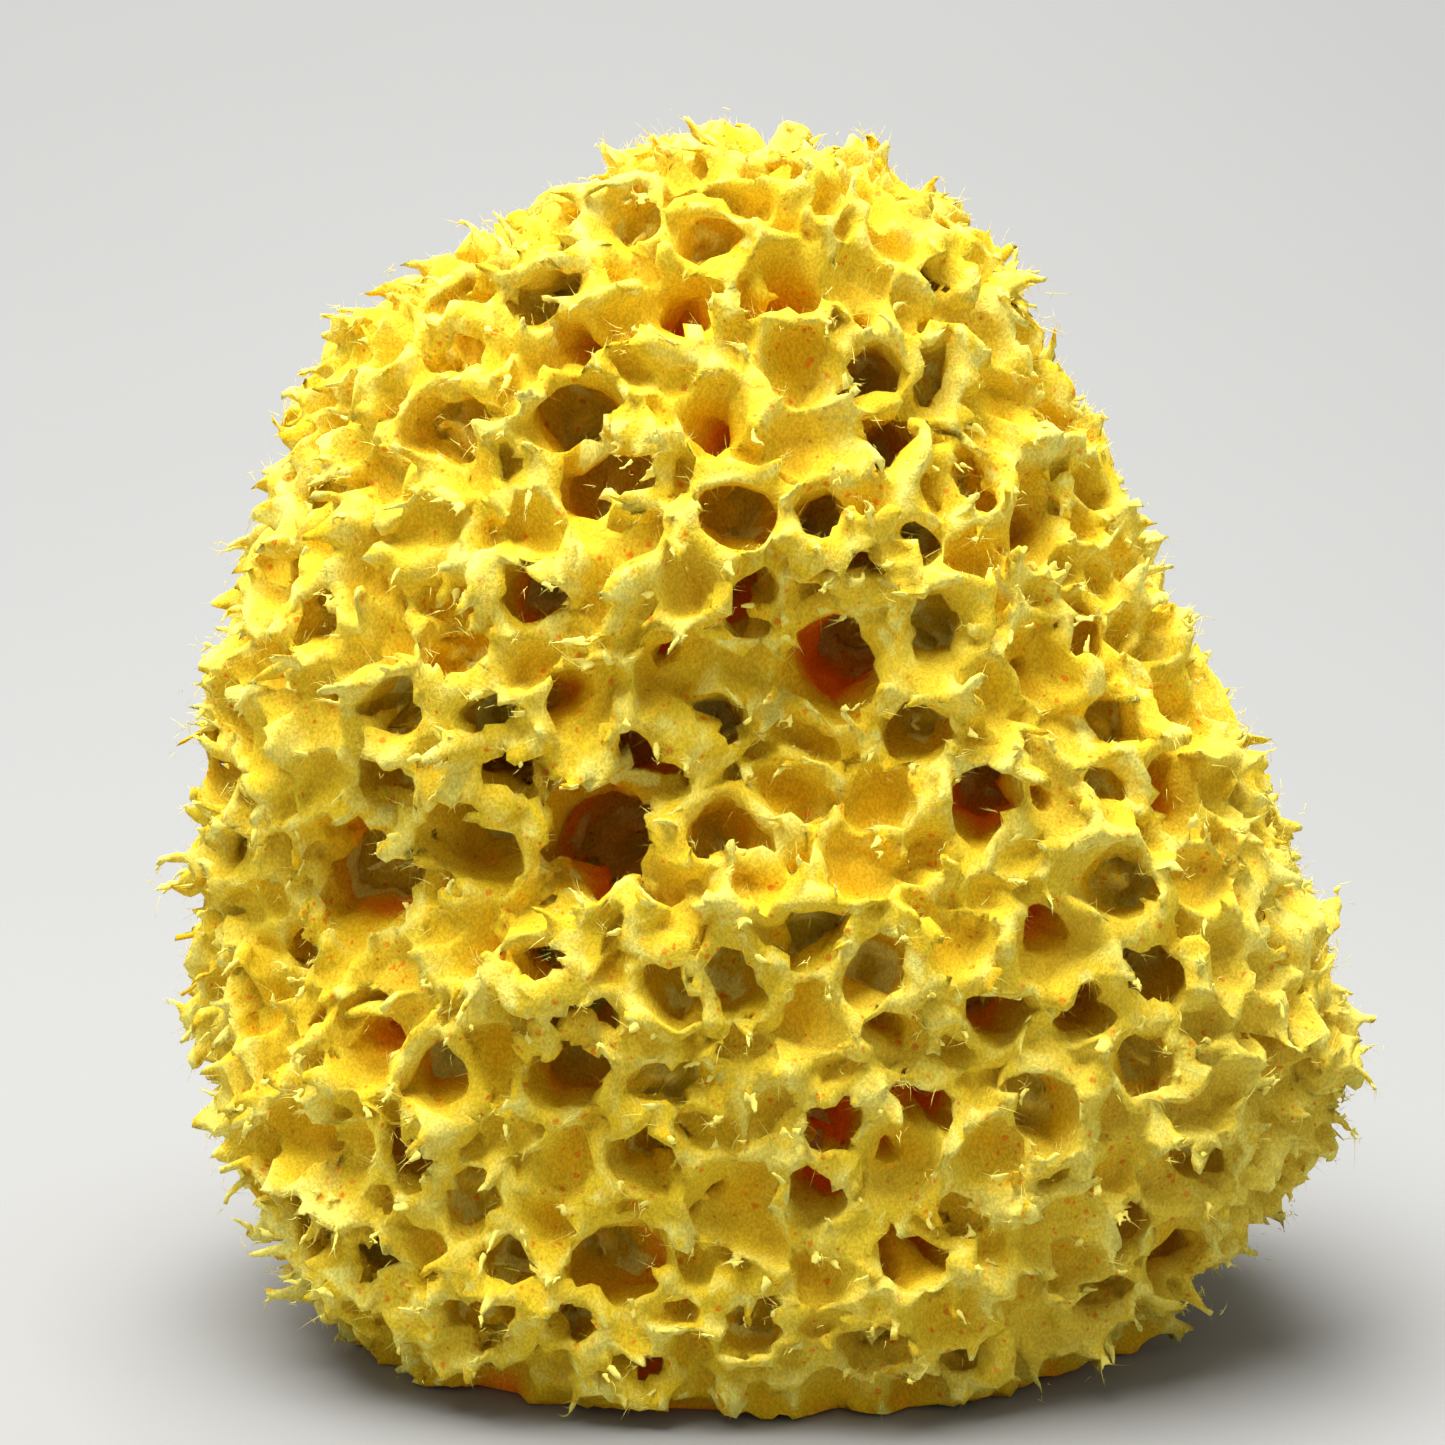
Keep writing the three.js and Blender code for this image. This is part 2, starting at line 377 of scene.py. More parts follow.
def sink_openings(points, mouths, outwards, radii, look):
    """Draws the skin inside each planned opening down into a round, tapering, bent pit."""
    rng = np.random.default_rng(look.seed + 1)
    tree = point_tree(points.tolist())
    sunk = points.copy()
    for mouth, outward, radius in zip(mouths, outwards, radii):
        inward = unit(-outward + rng.normal(0, 0.22, 3))
        depth = radius * rng.uniform(*DEPTH_PER_RADIUS) + 1.0 * MM
        bend = rng.normal(0, 0.16, 3) * depth
        long_way = unit(np.cross(inward, rng.normal(0, 1, 3)))
        squash = rng.uniform(0.0, 0.55)
        inside = np.array([k for _, k, _ in tree.find_range(mouth, 1.5 * radius)])
        if not len(inside):
            continue
        offset = points[inside] - mouth
        offset -= inward * (offset @ inward)[:, None]
        across = np.linalg.norm(offset + long_way * (squash * (offset @ long_way))[:, None], axis=1)
        share = np.clip(1 - (across / radius) ** 2, 0, 1) ** 0.45
        sunk[inside] += inward * (depth * share)[:, None] + bend * (share ** 2)[:, None]
        sunk[inside] -= offset * (0.3 * share)[:, None]
    sunk[:, 2] = np.maximum(sunk[:, 2], LOW.z)
    return sunk


def pulled(points, look):
    """Points carried along by the slow swirls that keep every opening from being round."""
    fade = ramp(points[:, 2], LOW.z + 0.2 * MM, LOW.z + 2.2 * MM)[:, None]
    swirl = drift_at(points, PULL_SIZE, 1.0) + 0.35 * drift_at(points, FINE_PULL_SIZE, 5.0)
    return points + look.warp * swirl * fade


def warp_skin(mesh, look):
    """Pulls the whole skin about, so that no opening stays round, and roughens it."""
    points, directions = positions(mesh), normals(mesh)
    rough = look.rough * noise_at(points, ROUGH_SIZE, 2, 2.0)[:, None] * directions
    points = pulled(points, look) + rough * (points[:, 2:] > LOW.z + FLOOR_GAP)
    points[:, 2] = np.maximum(points[:, 2], LOW.z)
    set_positions(mesh, points)


def drop_crumbs(piece, least):
    """Drops every loose part of the piece that has fewer than least corners."""
    mesh = piece.data
    ends = np.empty(len(mesh.edges) * 2, np.int32)
    mesh.edges.foreach_get("vertices", ends)
    pairs = ends.reshape(-1, 2)
    pairs = np.concatenate((pairs, pairs[:, ::-1]))
    pairs = pairs[pairs[:, 0].argsort(kind="stable")]
    owners, starts = np.unique(pairs[:, 0], return_index=True)
    label, before = np.arange(len(mesh.vertices)), None
    while before is None or (label != before).any():
        before = label.copy()
        label[owners] = np.minimum(label[owners], np.minimum.reduceat(label[pairs[:, 1]], starts))
        label = label[label]
    loose = np.flatnonzero(np.bincount(label)[label] < least)
    shape = bmesh.new()
    shape.from_mesh(mesh)
    shape.verts.ensure_lookup_table()
    bmesh.ops.delete(shape, geom=[shape.verts[i] for i in loose.tolist()], context="VERTS")
    shape.to_mesh(mesh)
    shape.free()


def thin_out(piece, most_faces):
    """Merges the piece's smallest triangles until no more than most_faces are left."""
    faces = sum(len(p.vertices) - 2 for p in piece.data.polygons)
    thin = piece.modifiers.new("thin", "DECIMATE")
    thin.ratio = min(1.0, most_faces / faces)
    thin.use_collapse_triangulate = True
    apply_modifiers(piece)
    points = positions(piece.data)
    points[:, 2] = np.maximum(points[:, 2], LOW.z)
    set_positions(piece.data, points)


def bulge(heights, middle, spread):
    """1 at the middle height and less above and below it, with both given in mm."""
    return np.exp(-(((heights - middle * MM) / (spread * MM)) ** 2))


def settle_shape(points):
    """Leans the rounded solid: fuller low on both sides, leaner up on the right, tucked in below."""
    x, z = points[:, 0], points[:, 2]
    left = ramp(-x, -10 * MM, 45 * MM) * bulge(z, 48, 34)
    right = ramp(x, 0, 35 * MM) * ramp(z, 80 * MM, 125 * MM)
    low_right = ramp(x, 20 * MM, 60 * MM) * bulge(z, 30, 20)
    shoulder = ramp(-x, 12 * MM, 38 * MM) * ramp(z, 118 * MM, 150 * MM)
    crown = ramp(z, 120 * MM, 150 * MM)
    moved = points.copy()
    moved[:, 0] += (3.2 * low_right - 4.0 * left - 4.6 * right + 2.5 * shoulder) * MM
    moved[:, 2] -= (4.5 * shoulder + 1.0 * crown) * MM
    rounded_under = 0.085 * np.clip(1 - z / (9 * MM), 0, 1) ** 2
    set_back_foot = 0.06 * ramp(-z, -2.6 * MM, -0.6 * MM)
    moved[:, :2] -= (moved[:, :2] - np.array(MIDDLE[:2])) * (rounded_under + set_back_foot)[:, None]
    return moved


def carve_body(look):
    """The sponge's body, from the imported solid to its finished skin, with what the rest needs."""
    body = solid_copy("sponge_body")
    voxel_remesh(body, look.first_voxel)
    soften(body, 0.5, 10)
    set_positions(body.data, settle_shape(positions(body.data)))
    points, directions = positions(body.data), normals(body.data)
    inside = clear_air(body, points, directions, OPEN_AIR) < OPEN_AIR
    foot = (points[:, 2] < LOW.z + FOOT_CLEAR) | (directions[:, 2] < -0.9)
    outside = np.flatnonzero(~inside & ~foot)
    voids = np.flatnonzero(inside)
    mouths, outwards, radii = plan_openings(points, directions, outside.tolist(), voids, look)
    rim, away = rim_field(points, voids, mouths, radii)
    raised, crest = raise_relief(points, directions, rim, voids, look)
    skin = outside[rim[outside] > 0.2 * MM]
    ridge = {"points": raised[skin], "out": directions[skin], "away": away[skin], "crest": crest[skin]}
    set_positions(body.data, sink_openings(raised, mouths, outwards, radii, look))
    fronds = plan_fronds(ridge, look)
    join_mesh(body, frond_flaps(fronds, look))
    voxel_remesh(body, look.last_voxel)
    soften(body, 0.5, 2)
    warp_skin(body.data, look)
    thin_out(body, look.most_faces)
    drop_crumbs(body, len(body.data.vertices) // 2)
    colour_guides(body.data, pulled(ridge["points"], look), ridge["out"], ridge["crest"])
    return body, fronds


def colour_guides(mesh, skin, skin_out, skin_crest):
    """Stores how deep each corner lies below the outer skin and how much it belongs to a crest."""
    points = positions(mesh)
    deep, index = nearest(points, skin)
    above = ((points - skin[index]) * skin_out[index]).sum(1)
    above[(above < 0.75 * deep) | (deep > 5 * MM)] = 0
    deep[above > 0] = 0
    crest = skin_crest[index] * np.exp(-deep / CREST_FADE)
    set_attribute(mesh, "deep", deep / MM)
    set_attribute(mesh, "crest", np.maximum(crest, ramp(above, 0.2 * MM, 1.4 * MM)))


# ---------------------------------------------------------------- fronds, threads and down


def plan_fronds(ridge, look):
    """Where the torn fronds stand along the crests, and how each one lies."""
    rng = np.random.default_rng(look.seed + 2)
    points, out, away, crest = (ridge[key] for key in ("points", "out", "away", "crest"))
    order = np.flatnonzero((crest > LEAST_CREST) & (points[:, 2] > LOW.z + 0.7 * MM))
    rng.shuffle(order)
    rows = spaced(points, order.tolist(), look.frond_gap)
    rows = rows[rng.random(len(rows)) < 0.3 + crest[rows]]
    count = len(rows)
    droop = 1.1 * drift_at(points[rows], FROND_DRIFT_SIZE, 8.0)
    droop += away[rows] * rng.normal(0, 0.4, (count, 1))
    droop += np.array(FROND_PULL) * ramp(-points[rows][:, :1], -40 * MM, 20 * MM)
    droop -= 0.7 * out[rows] * (droop * out[rows]).sum(1, keepdims=True)
    length = look.frond_length * rng.uniform(0.35, 1.2, count)
    return {
        "root": points[rows] - out[rows] * ROOT_DEPTH,
        "along": unit(np.cross(out[rows], away[rows])),
        "outward": unit(out[rows] + 0.7 * droop),
        "droop": droop,
        "length": length,
        "width": look.frond_width * rng.uniform(0.45, 1.15, count),
        "bend": droop * (0.55 * length)[:, None],
    }


def frond_flaps(fronds, look):
    """The flaps of the fronds, which grow out of the body."""
    length, width = fronds["length"], fronds["width"]
    sizes = np.stack((width, np.full(len(width), look.frond_thickness), length), 1)
    axes = axes_for(fronds["outward"], fronds["along"])
    flap = taper(6, (1.1, 1.0, 0.85, 0.55))
    return repeat_shape("flaps", flap, fronds["root"], axes, sizes, fronds["bend"])


def torn_fringe(fronds, look):
    """Teeth along the free edges of the flaps, and how their ends lie."""
    rng = np.random.default_rng(look.seed + 6)
    row = np.repeat(np.arange(len(fronds["length"])), rng.integers(1, 5, len(fronds["length"])))
    count = len(row)
    along, droop, outward = fronds["along"][row], fronds["droop"][row], fronds["outward"][row]
    place = rng.uniform(0.45, 0.9, (count, 1))
    offset = rng.uniform(-0.85, 0.85, (count, 1))
    start = fronds["root"][row] + outward * fronds["length"][row, None] * place
    start += fronds["bend"][row] * place ** 2 + along * offset * fronds["width"][row, None]
    heading = unit(outward + 0.9 * droop + along * offset * 0.75 + rng.normal(0, 0.28, (count, 3)))
    length = look.tooth_length * rng.uniform(0.5, 1.3, count)
    half_width = look.tooth_width * rng.uniform(0.7, 1.3, count)
    curl = (droop * 0.5 + rng.normal(0, 0.35, (count, 3))) * length[:, None]
    axes = axes_for(heading, along + rng.normal(0, 0.3, (count, 3)))
    sizes = np.stack((half_width, 0.8 * half_width, length), 1)
    tooth = taper(5, (1.0, 0.9, 0.7, 0.4))
    piece = repeat_shape("torn_fringe", tooth, start, axes, sizes, curl)
    set_positions(piece.data, pulled(positions(piece.data), look))
    grow_together(piece, look)
    roots = pulled(fronds["root"] + ROOT_DEPTH * fronds["outward"], look)
    set_attribute(piece.data, "reach", nearest(positions(piece.data), roots)[0] / MM)
    ends = {
        "at": pulled(start + heading * length[:, None] + curl, look),
        "heading": unit(heading * length[:, None] + 2 * curl),
        "across": axes[:, 0] * half_width[:, None],
    }
    return piece, ends


def join_mesh(piece, other):
    """Moves the other object's mesh into the piece."""
    shape = bmesh.new()
    shape.from_mesh(piece.data)
    shape.from_mesh(other.data)
    shape.to_mesh(piece.data)
    shape.free()
    bpy.data.meshes.remove(other.data)


def grow_together(piece, look):
    """Makes one soft, rough skin of shapes that run into each other."""
    voxel_remesh(piece, look.fringe_voxel)
    soften(piece, 0.5, 1)
    mesh = piece.data
    points, directions = positions(mesh), normals(mesh)
    points += 0.14 * MM * noise_at(points, 0.9 * MM, 1, 7.0)[:, None] * directions
    points[:, 2] = np.maximum(points[:, 2], LOW.z + FLOOR_GAP)
    set_positions(mesh, points)
    thin_out(piece, look.most_faces)
    drop_crumbs(piece, 30)


def loose_threads(ends, look):
    """Fine threads that trail off the fringes."""
    rng = np.random.default_rng(look.seed + 3)
    chosen = rng.integers(0, len(ends["at"]), look.threads)
    count = len(chosen)
    across = ends["across"][chosen]
    direction = unit(ends["heading"][chosen] + rng.normal(0, 0.4, (count, 3)))
    length = rng.uniform(0.8, 1.0, count) * rng.uniform(0.6, 2.3, count) * MM
    width = rng.uniform(*THREAD_WIDTHS, count) * MM
    sizes = np.stack((width, 0.7 * width, length), 1)
    curl = rng.normal(0, 0.5, (count, 3)) * length[:, None]
    roots = ends["at"][chosen] + across * rng.uniform(-0.8, 0.8, (count, 1))
    roots -= direction * (0.55 * length[:, None])
    thread = taper(3, (1.0, 0.9, 0.65, 0.0))
    return repeat_shape("loose_threads", thread, roots, axes_for(direction, across), sizes, curl)


def down(name, body, amount, length, spread, look, seed):
    """Short fibres all over the body, closest on the ridges."""
    rng = np.random.default_rng(look.seed + seed)
    mesh = body.data
    points, out = positions(mesh), normals(mesh)
    deep = np.empty(len(points), np.float32)
    mesh.attributes["deep"].data.foreach_get("value", deep)
    corners = np.empty(len(mesh.polygons) * 3, np.int32)
    mesh.polygons.foreach_get("vertices", corners)
    corners = corners.reshape(-1, 3)
    area = np.empty(len(mesh.polygons))
    mesh.polygons.foreach_get("area", area)
    weight = area * (0.015 + np.exp(-deep[corners].mean(1) / 1.3))
    weight *= points[corners][:, :, 2].mean(1) > LOW.z + FOOT_CLEAR
    face = rng.choice(len(area), amount, p=weight / weight.sum())
    share = rng.dirichlet((1, 1, 1), amount)
    roots = (points[corners[face]] * share[..., None]).sum(1)
    outward = (out[corners[face]] * share[..., None]).sum(1)
    direction = unit(unit(outward) + rng.normal(0, spread, (amount, 3)))
    lengths = length * rng.uniform(0.4, 1.5, amount)
    width = look.down_width * rng.uniform(0.6, 1.3, amount)
    bends = rng.normal(0, 0.3, (amount, 3)) * lengths[:, None]
    axes = axes_for(direction, rng.normal(0, 1, (amount, 3)))
    spike = taper(3, (1.0, 0.0))
    sizes = np.stack((width, width, lengths), 1)
    return repeat_shape(name, spike, roots - direction * 0.1 * MM, axes, sizes, bends)


# ---------------------------------------------------------------- finishes


def add_node(tree, kind, **settings):
    """A node of the given kind, with its plain properties set."""
    node = tree.nodes.new(kind)
    for key, value in settings.items():
        setattr(node, key, value)
    return node


def feed(tree, node, **inputs):
    """Sets or links a node's inputs by name, with _ for a space."""
    for key, value in inputs.items():
        socket = node.inputs[key.replace("_", " ")]
        if isinstance(value, bpy.types.NodeSocket):
            tree.links.new(value, socket)
        else:
            socket.default_value = value


def arithmetic(tree, operation, a, b, clamp=False):
    """A Math node's result."""
    node = add_node(tree, "ShaderNodeMath", operation=operation, use_clamp=clamp)
    for socket, value in zip(node.inputs, (a, b)):
        if isinstance(value, bpy.types.NodeSocket):
            tree.links.new(value, socket)
        else:
            socket.default_value = value
    return node.outputs[0]


def blend(tree, factor, a, b, mode="MIX"):
    """A colour Mix node's result."""
    node = add_node(tree, "ShaderNodeMix", data_type="RGBA", blend_type=mode)
    sockets = (node.inputs[0], node.inputs[6], node.inputs[7])
    for socket, value in zip(sockets, (factor, a, b)):
        if isinstance(value, bpy.types.NodeSocket):
            tree.links.new(value, socket)
        elif socket.type == "RGBA":
            socket.default_value = (*value, 1)
        else:
            socket.default_value = value
    return node.outputs[2]


def step(tree, value, low, high):
    """A smooth step of a value from 0 at low to 1 at high."""
    node = add_node(tree, "ShaderNodeMapRange", interpolation_type="SMOOTHSTEP")
    feed(tree, node, Value=value, From_Min=low, From_Max=high)
    return node.outputs["Result"]


def noise_node(tree, vector, size, detail=2.0, rough=0.5):
    """Noise whose lumps are about size across, from 0 to 1."""
    node = add_node(tree, "ShaderNodeTexNoise")
    feed(tree, node, Vector=vector, Scale=1 / size, Detail=detail, Roughness=rough)
    return node.outputs["Fac"]


def new_group(name, inputs, outputs):
    """An empty shader node group with its sockets, and its two end nodes."""
    group = bpy.data.node_groups.new(name, "ShaderNodeTree")
    for label, kind, default in inputs:
        socket = group.interface.new_socket(label, in_out="INPUT", socket_type=kind)
        if default is not None:
            socket.default_value = default
    for label, kind in outputs:
        group.interface.new_socket(label, in_out="OUTPUT", socket_type=kind)
    return group, add_node(group, "NodeGroupInput"), add_node(group, "NodeGroupOutput")


def felt_group():
    """Matted fibre: how bright each place is, and how high it stands."""
    group, given, result = new_group(
        "matted_fibre",
        (("Vector", "NodeSocketVector", None),),
        (("Tone", "NodeSocketFloat"), ("Height", "NodeSocketFloat")),
    )
    lay = add_node(group, "ShaderNodeMapping")
    feed(group, lay, Vector=given.outputs["Vector"], Scale=(1, 0.8, 0.7), Rotation=(0.3, 0.7, 0.2))
    strands = noise_node(group, lay.outputs[0], 0.34 * MM, 2.0, 0.7)
    group.links.new(step(group, strands, 0.36, 0.66), result.inputs["Tone"])
    group.links.new(strands, result.inputs["Height"])
    return group


def pore_group():
    """Pinholes of mixed sizes in patches: 1 in the middle of a hole and 0 between."""
    group, given, result = new_group(
        "pinholes",
        (("Vector", "NodeSocketVector", None), ("Amount", "NodeSocketFloat", 0.5)),
        (("Hole", "NodeSocketFloat"),),
    )
    where = given.outputs["Vector"]
    holes = []
    for size, radius, seed in ((2.1 * MM, 0.26, 0.0), (1.2 * MM, 0.26, 3.0)):
        cells = add_node(group, "ShaderNodeTexVoronoi", feature="F1")
        shifted = add_node(group, "ShaderNodeVectorMath", operation="ADD")
        group.links.new(where, shifted.inputs[0])
        shifted.inputs[1].default_value = (seed * MM, 0, seed * MM)
        feed(group, cells, Vector=shifted.outputs[0], Scale=1 / size, Randomness=1.0)
        round_hole = step(group, cells.outputs["Distance"], radius, 0.5 * radius)
        some = add_node(group, "ShaderNodeSeparateColor")
        group.links.new(cells.outputs["Color"], some.inputs[0])
        chosen = arithmetic(group, "LESS_THAN", some.outputs[0], given.outputs["Amount"])
        holes.append(arithmetic(group, "MULTIPLY", round_hole, chosen))
    group.links.new(arithmetic(group, "MAXIMUM", holes[0], holes[1]), result.inputs["Hole"])
    return group


def tone_group():
    """Slow drifts of colour: a fresh and a faded tone in patches, faded low on the right."""
    group, given, result = new_group(
        "sun_bleach",
        (
            ("Vector", "NodeSocketVector", None),
            ("Colour", "NodeSocketColor", (0.8, 0.7, 0.2, 1)),
            ("Faded", "NodeSocketColor", (0.7, 0.65, 0.35, 1)),
        ),
        (("Colour", "NodeSocketColor"),),
    )
    where = given.outputs["Vector"]
    split = add_node(group, "ShaderNodeSeparateXYZ")
    group.links.new(where, split.inputs[0])
    right = step(group, split.outputs["X"], MIDDLE.x - 5 * MM, HIGH.x)
    low = step(group, split.outputs["Z"], LOW.z + 0.62 * SIZE.z, LOW.z + 0.2 * SIZE.z)
    patch = step(group, noise_node(group, where, 16 * MM, 2.0, 0.55), 0.42, 0.68)
    faded = arithmetic(group, "MULTIPLY", right, low)
    faded = arithmetic(group, "MULTIPLY", faded, 0.4)
    faded = arithmetic(group, "ADD", faded, arithmetic(group, "MULTIPLY", patch, 0.25), True)
    mixed = blend(group, faded, given.outputs["Colour"], given.outputs["Faded"])
    group.links.new(mixed, result.inputs["Colour"])
    return group


def place_group(tree, group, **inputs):
    """A node that uses a group, with its inputs set or linked."""
    node = add_node(tree, "ShaderNodeGroup", node_tree=group)
    feed(tree, node, **inputs)
    return node


def matt_shader(material):
    """The material's tree and its Principled shader, set for dry, soft fibre."""
    material.use_nodes = True
    shader = material.node_tree.nodes["Principled BSDF"]
    feed(material.node_tree, shader, Specular_IOR_Level=0.15, Diffuse_Roughness=0.6)
    return material.node_tree, shader


def shared_group(maker, name):
    """The shader node group of that name, made the first time it is asked for."""
    return bpy.data.node_groups.get(name) or maker()


def wavered(tree, value, waver, amount):
    """A value pushed up and down by noise, by up to half of amount."""
    centred = arithmetic(tree, "SUBTRACT", waver, 0.5)
    return arithmetic(tree, "ADD", value, arithmetic(tree, "MULTIPLY", centred, amount))


def grey(tree, value, scale, offset):
    """A grey whose brightness is the value scaled and offset."""
    tint = arithmetic(tree, "MULTIPLY_ADD", value, scale)
    tint.node.inputs[2].default_value = offset
    shade = add_node(tree, "ShaderNodeCombineColor")
    for socket in shade.inputs[:3]:
        tree.links.new(tint, socket)
    return shade.outputs[0]


def sponge_finish(look):
    """The body's felted skin: cream crests, with painted shade that turns the hollows golden and the
    deepest openings rust-red, and a faint painted glow in those openings.
    """
    material = bpy.data.materials.new("sponge_skin")
    tree, shader = matt_shader(material)
    where = add_node(tree, "ShaderNodeTexCoord").outputs["Object"]
    deep = add_node(tree, "ShaderNodeAttribute", attribute_name="deep").outputs["Fac"]
    crest = add_node(tree, "ShaderNodeAttribute", attribute_name="crest").outputs["Fac"]
    fibre = place_group(tree, shared_group(felt_group, "matted_fibre"), Vector=where)
    waver = noise_node(tree, where, 3 * MM, 2.0, 0.6)
    waved = wavered(tree, deep, waver, 2.4)
    # Painted shade: the deeper a place lies below the outer skin, the more its own yellow turns to the
    # deeper golden wall tone, as shade and bounced light would make it.
    colour = blend(tree, step(tree, waved, 0.1, 2.8), look.skin, look.wall)
    # Painted shade: deeper still the colour turns rust-red, the tone of light that has bounced many
    # times inside the deepest openings.
    pit_shade = step(tree, waved, 3.2, 9.0)
    colour = blend(tree, pit_shade, colour, look.deep)
    top = step(tree, wavered(tree, crest, waver, 0.7), 0.22, 0.72)
    colour = blend(tree, top, colour, look.crest)
    bleach = shared_group(tone_group, "sun_bleach")
    faded = place_group(tree, bleach, Vector=where, Colour=colour, Faded=(*look.faded, 1))
    colour = blend(tree, step(tree, deep, 4.0, 1.0), colour, faded.outputs["Colour"])
    patch = step(tree, noise_node(tree, where, 9 * MM, 1.0), 0.35, 0.62)
    amount = arithmetic(tree, "MULTIPLY", patch, 0.55)
    pores = place_group(tree, shared_group(pore_group, "pinholes"), Vector=where, Amount=amount)
    hole = arithmetic(tree, "MULTIPLY", pores.outputs["Hole"], arithmetic(tree, "SUBTRACT", 1.0, top))
    # Painted shade: pinholes too small to be modelled are painted in the rust-red deep tone, away from
    # the crests.
    colour = blend(tree, arithmetic(tree, "MULTIPLY", hole, 0.75), colour, look.deep)
    colour = blend(tree, 1.0, colour, grey(tree, fibre.outputs["Tone"], 0.26, 0.84), "MULTIPLY")
    bump = add_node(tree, "ShaderNodeBump")
    feed(tree, bump, Strength=0.7, Distance=0.3 * MM, Height=fibre.outputs["Height"])
    rough = step(tree, fibre.outputs["Tone"], 2.0, -1.0)
    # Painted glow: the deepest openings give off a faint red light of their own, in place of light that
    # comes through the walls.
    glow = blend(tree, pit_shade, (0, 0, 0), look.through)
    feed(tree, shader, Base_Color=colour, Normal=bump.outputs["Normal"], Emission_Color=glow)
    feed(tree, shader, Roughness=arithmetic(tree, "ADD", rough, 0.3, True), Emission_Strength=look.glow)
    return material


def fibre_finish(name, root, tip, reach, look):
    """Torn or loose fibre: skin tones at the root, pale at the tip, drifting from place to place."""
    material = bpy.data.materials.new(name)
    tree, shader = matt_shader(material)
    where = add_node(tree, "ShaderNodeTexCoord").outputs["Object"]
    mottle = noise_node(tree, where, 2.2 * MM, 2.0, 0.6)
    pale = step(tree, mottle, 0.3, 0.7)
    if reach:
        far = add_node(tree, "ShaderNodeAttribute", attribute_name="reach").outputs["Fac"]
        pale = step(tree, wavered(tree, far, mottle, 1.2), -0.6, 1.2)
    mixed = blend(tree, pale, root, tip)
    bleach = shared_group(tone_group, "sun_bleach")
    faded = place_group(tree, bleach, Vector=where, Colour=mixed, Faded=(*look.faded, 1))
    rough = arithmetic(tree, "MULTIPLY_ADD", mottle, 0.2)
    rough.node.inputs[2].default_value = 0.78
    feed(tree, shader, Base_Color=faded.outputs["Colour"], Roughness=rough)
    return material


def finish(piece, material):
    """Gives the whole piece one material, and ties it to the sponge."""
    piece.data.materials.clear()
    piece.data.materials.append(material)
    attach(piece, BODY)


# ---------------------------------------------------------------- settings


def length_of(name, description, millimetres):
    """A length setting with its default in millimetres."""
    return FloatProperty(name=name, description=description, default=millimetres * MM, unit="LENGTH")


def colour_of(name, description, default):
    """A colour setting."""
    return FloatVectorProperty(
        name=name, description=description, subtype="COLOR", size=3, min=0, max=1, default=default
    )


class SpongeShape(PropertyGroup):
    """Sizes of the sponge's skin and fibre."""

    seed: IntProperty(name="Seed", description="Starts every random choice", default=7)
    first_voxel: length_of("Rounding", "Detail kept from the plain solid", 0.6)
    last_voxel: length_of("Detail", "Finest detail of the body", 0.6)
    most_faces: IntProperty(name="Faces", description="Triangles that a piece keeps", default=198000)
    wall: length_of("Wall", "Wall left between two openings", 2.2)
    ridge_height: length_of("Ridge height", "From an opening's rim to the ridge beside it", 3.8)
    peak_height: length_of("Conule height", "How far the conules stand above the ridges", 3.0)
    crest_reach: length_of("Crest reach", "Distance from an opening to the crest", 1.7)
    tear: length_of("Tear", "Height of the torn edge of a crest", 1.1)
    lean: length_of("Lean", "How far the crests lean over", 2.0)
    settle: length_of("Settle", "How far the whole skin sinks below the solid", 1.9)
    warp: length_of("Warp", "How far the skin is pulled about", 2.4)
    rough: length_of("Rough", "Height of the finest lumps", 0.22)
    frond_gap: length_of("Frond gap", "Distance between two fronds", 2.7)
    frond_length: length_of("Frond length", "Length of a torn frond", 3.2)
    frond_width: length_of("Frond width", "Half the width of a torn frond", 1.4)
    frond_thickness: length_of("Frond thickness", "Half the thickness of a torn frond", 0.52)
    fringe_voxel: length_of("Fringe detail", "Finest detail of the fringe", 0.3)
    tooth_length: length_of("Tooth length", "Length of a tooth of the fringe", 1.2)
    tooth_width: length_of("Tooth width", "Half the width of a tooth", 0.36)
    threads: IntProperty(name="Threads", description="Number of loose threads", default=8000)
    fibres: IntProperty(name="Fibres", description="Fibres in each layer of down", default=45000)
    fine_down: length_of("Fine down", "Length of the short fibres", 0.8)
    long_down: length_of("Long down", "Length of the long fibres", 1.5)
    down_width: length_of("Down width", "Half the width of a fibre of down", 0.035)


class SpongeColours(PropertyGroup):
    """Colours of the sponge."""

    skin: colour_of("Skin", "Outer skin", (0.91, 0.68, 0.026))
    crest: colour_of("Crests", "Torn crests", (0.98, 0.89, 0.20))
    # The wall and deep colours are painted shade for the hollows and the deepest openings, not the
    # sponge's own colour.
    wall: colour_of("Walls", "Walls of the openings", (0.86, 0.55, 0.008))
    deep: colour_of("Deep", "Deep inside", (0.88, 0.23, 0.004))
    # Painted glow: the through light and its strength make the deepest openings shine faintly, in place
    # of light through the walls.
    through: colour_of("Through light", "Light that comes through the walls", (1.0, 0.13, 0.0))
    glow: FloatProperty(name="Glow", description="Strength of that light", default=0.045, min=0)
    faded: colour_of("Faded", "Faded patches", (0.84, 0.70, 0.10))
    down: colour_of("Down", "Loose fibre", (0.97, 0.86, 0.18))


class StageLook(PropertyGroup):
    """Floor, lamps and camera."""

    paper: colour_of("Paper", "Floor and backdrop", (0.285, 0.285, 0.278))
    key_watts: FloatProperty(name="Key", description="Strength of the softbox overhead", default=52.0)
    wash_watts: FloatProperty(name="Wash", description="Strength of the backdrop's lamp", default=6.0)
    dome: FloatProperty(name="Dome", description="Strength of the light from all round", default=0.43)
    lens: FloatProperty(name="Lens", description="Focal length of the camera in mm", default=88.0)


# ---------------------------------------------------------------- stage


